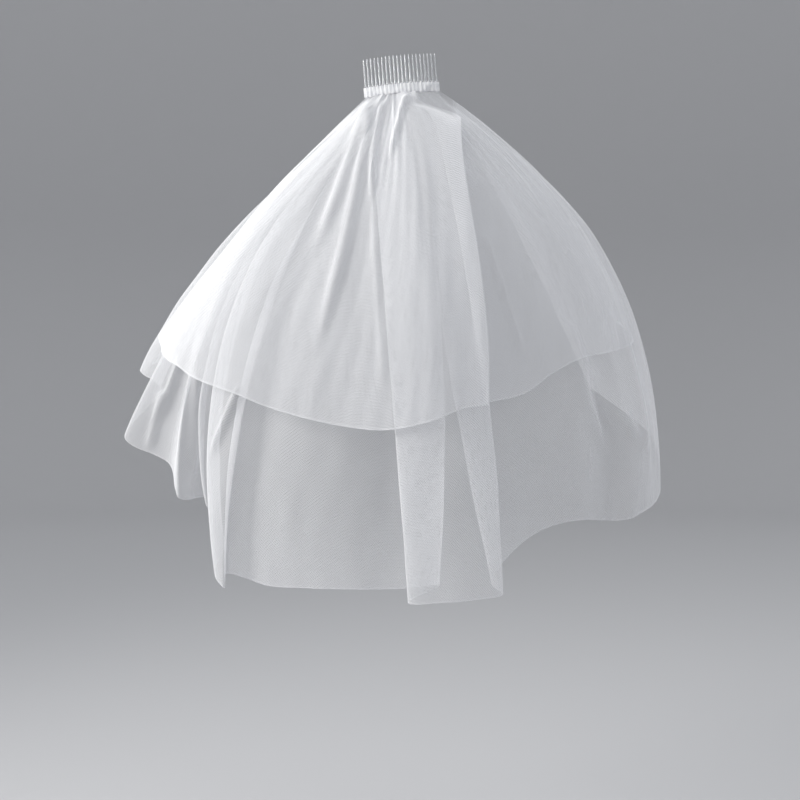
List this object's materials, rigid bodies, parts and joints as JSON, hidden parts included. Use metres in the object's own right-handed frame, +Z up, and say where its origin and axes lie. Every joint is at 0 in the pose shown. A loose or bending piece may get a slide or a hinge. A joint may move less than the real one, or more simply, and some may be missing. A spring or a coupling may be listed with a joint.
{
  "type": "two-tier bridal veil on a comb",
  "caption": "Short two-tier tulle veil, gathered under a narrow binding on a clear comb, as it hangs worn, with a box pleat down the back.",
  "frame": {"origin": "middle of the comb's spine, where the comb is pushed into the hair and carries the veil", "axes": "+Z up, as worn; +Y towards the wearer's front, so the back of the veil faces -Y; +X to the right of the view from behind"},
  "size_m": [0.5979, 0.3493, 0.5577],
  "materials": {
    "clear_plastic": "clear, glossy",
    "white_binding": "matt, whip-stitched",
    "white_tulle": "sheer fine net"
  },
  "bodies": {
    "root": {"comb": "clear_plastic", "heading_band": "white_binding", "upper_tier": "white_tulle", "lower_tier": "white_tulle"}
  },
  "joints": []
}
